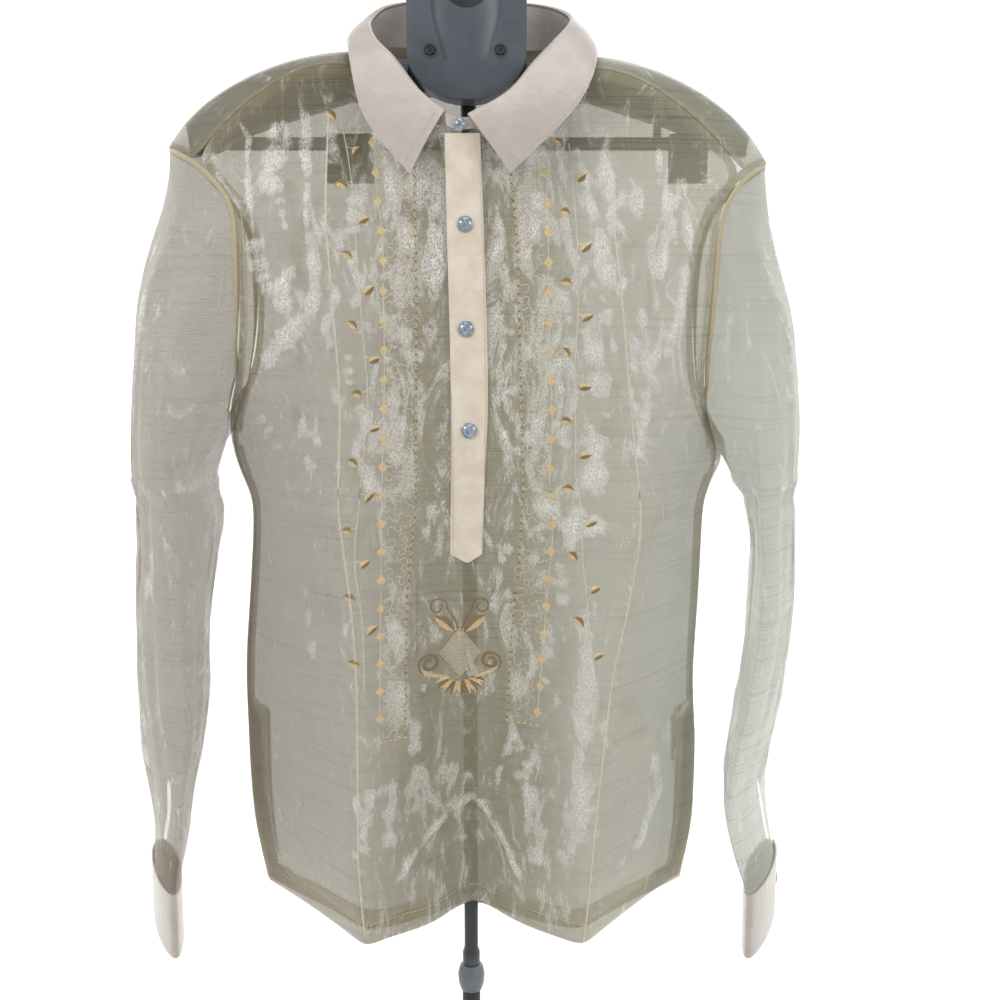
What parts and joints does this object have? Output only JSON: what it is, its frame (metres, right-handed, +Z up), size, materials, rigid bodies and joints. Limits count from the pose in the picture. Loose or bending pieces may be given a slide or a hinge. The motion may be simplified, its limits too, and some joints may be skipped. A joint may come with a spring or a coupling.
{
  "type": "barong tagalog shirt on a hanger stand",
  "caption": "Sheer long-sleeved embroidered barong tagalog shirt with a satin collar and half placket, hung on a grey hanger head with a trouser bar on a pole stand.",
  "frame": {"origin": "on the floor, at the middle of the base's underside, on the axis of the pole", "axes": "+Z up; -Y is the front of the shirt; +X is on the right when the shirt is seen from the front"},
  "size_m": [0.5692, 0.35, 1.292],
  "materials": {
    "organza": "sheer crisp organza",
    "satin": "fused cream satin",
    "placket_satin": "fused peach satin",
    "snap_cap": "pearly grey",
    "grey_plastic": "moulded grey",
    "dark_plastic": "moulded black",
    "pole_metal": "satin grey paint"
  },
  "bodies": {
    "root": {"front": "organza", "back": "organza", "sleeve_left": "organza", "sleeve_right": "organza", "cuff_left": "satin", "cuff_right": "satin", "collar": "satin", "collar_stand": "satin", "placket": "placket_satin", "placket_under": "placket_satin", "snap_1": "snap_cap", "snap_2": "snap_cap", "snap_3": "snap_cap", "snap_neck": "snap_cap", "snap_cuff_left": "snap_cap", "snap_cuff_right": "snap_cap", "hanger_head": "grey_plastic", "hanger_arm_left": "grey_plastic", "hanger_arm_right": "grey_plastic", "trouser_bar": "grey_plastic", "clip_left": "dark_plastic", "clip_right": "dark_plastic", "pole_clamp": "grey_plastic", "base": "dark_plastic", "pole": "pole_metal", "tube": "pole_metal"}
  },
  "joints": []
}
